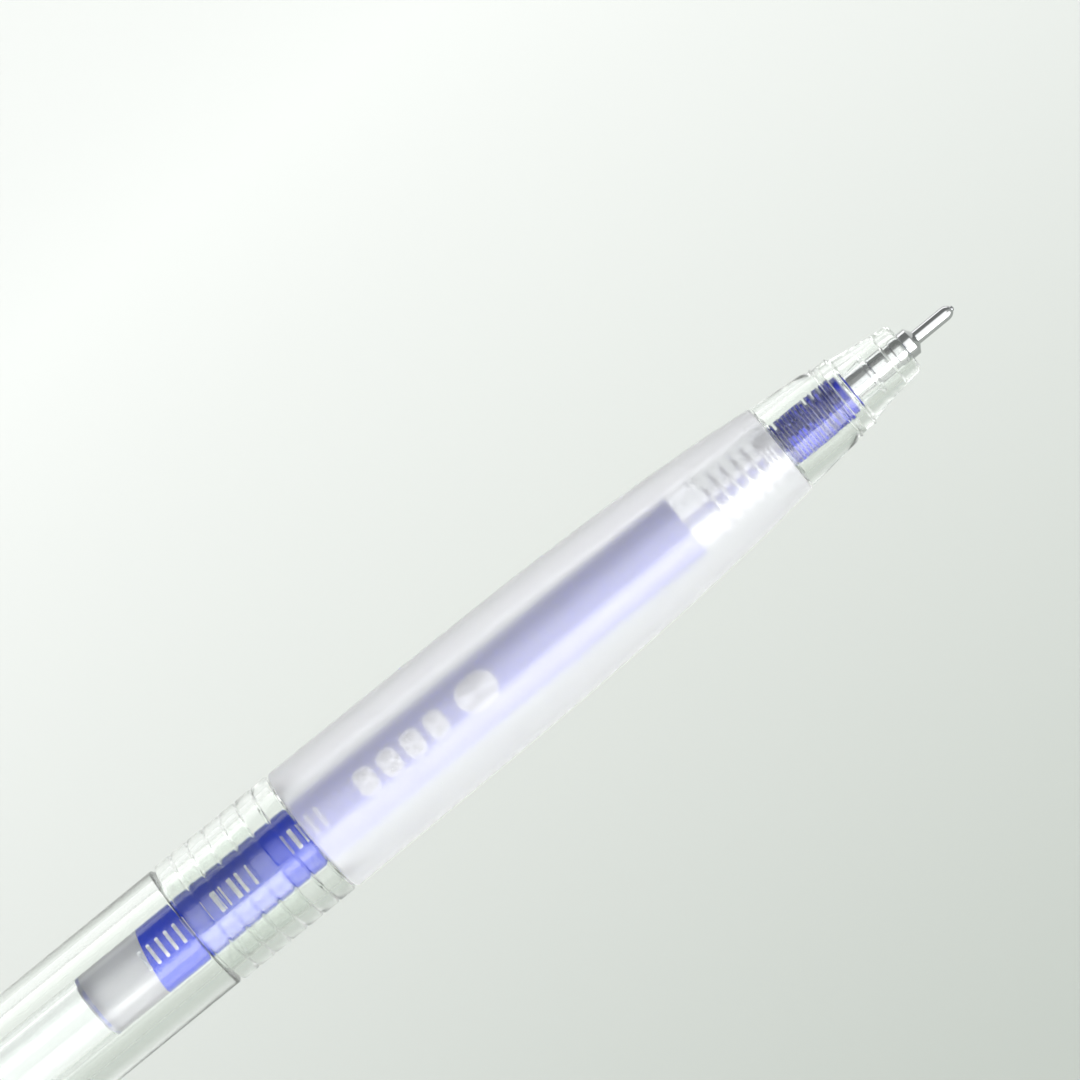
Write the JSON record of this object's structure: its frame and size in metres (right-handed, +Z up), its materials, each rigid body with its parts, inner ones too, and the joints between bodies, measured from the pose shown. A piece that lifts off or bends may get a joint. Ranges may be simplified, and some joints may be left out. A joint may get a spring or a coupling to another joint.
{
  "type": "gel pen",
  "caption": "Click gel pen with a metal needle point, a clear nose, a frosted soft grip, a ribbed screw collar, a clear barrel over a blue refill, and a side clip.",
  "frame": {"origin": "middle of the footprint, on the surface that the pen lies on", "axes": "+X towards the writing tip along the pen's axis, +Z up from the surface, with the clip low on the -Y side"},
  "size_m": [0.145, 0.0136, 0.0111],
  "materials": {
    "clear_plastic": "clear, polished, with a faint green tint in thick walls",
    "frosted_rubber": "milky translucent silicone, matt",
    "milky_plastic": "milky translucent plastic, satin",
    "steel": "turned and polished",
    "spring_steel": "drawn wire",
    "carbide": "ground ball",
    "refill_plastic": "clear polypropylene",
    "inked_comb": "clear plastic fins with blue ink between them",
    "blue_ink": "gel ink",
    "follower_grease": "whitish translucent grease",
    "white_acetal": "moulded, satin"
  },
  "bodies": {
    "barrel": {"barrel_tube": "clear_plastic", "cam_guide": "milky_plastic", "rear_cap": "milky_plastic"},
    "front_section": {"nose_section": "clear_plastic", "grip_sleeve": "frosted_rubber", "spring_seat": "refill_plastic", "return_spring": "spring_steel"},
    "refill": {"needle_tip": "steel", "writing_ball": "carbide", "ball_spring": "spring_steel", "tip_holder": "refill_plastic", "ink_comb": "inked_comb", "holder_neck": "refill_plastic", "ink_tube": "refill_plastic", "ink_column": "blue_ink", "ink_follower": "follower_grease", "tail_plug": "white_acetal"},
    "button": {"push_button": "milky_plastic", "thrust_plunger": "white_acetal"},
    "rotor": {"rotor_cam": "white_acetal"},
    "clip": {"clip": "milky_plastic"}
  },
  "joints": [
    {"name": "button_press", "type": "slide", "parent": "barrel", "child": "button", "axis": [1, 0, 0], "range_m": [-0.0055, 0.0006]},
    {"name": "section_unscrew", "type": "hinge", "parent": "barrel", "child": "front_section", "pos_m": [0.002, 0.00129, 0.00555], "axis": [1, 0, 0], "range_deg": [0, 720]},
    {"name": "refill_slide", "type": "slide", "parent": "front_section", "child": "refill", "axis": [1, 0, 0], "range_m": [-0.0055, 0.0006], "deforming": ["return_spring"]},
    {"name": "rotor_turn", "type": "hinge", "parent": "button", "child": "rotor", "pos_m": [-0.0425, 0.00129, 0.00555], "axis": [1, 0, 0], "range_deg": [-6, 46]},
    {"name": "clip_flex", "type": "hinge", "parent": "barrel", "child": "clip", "pos_m": [-0.0623, -0.00312, 0.00319], "axis": [0, 0.4726, -0.8813], "range_deg": [0, 5], "stiffness_Nm_per_rad": 0.4}
  ],
  "couplings": [
    {"joint": "refill_slide", "follows": "button_press", "ratio": 1},
    {"joint": "rotor_turn", "follows": "button_press", "rad_per_m": -142.8}
  ]
}
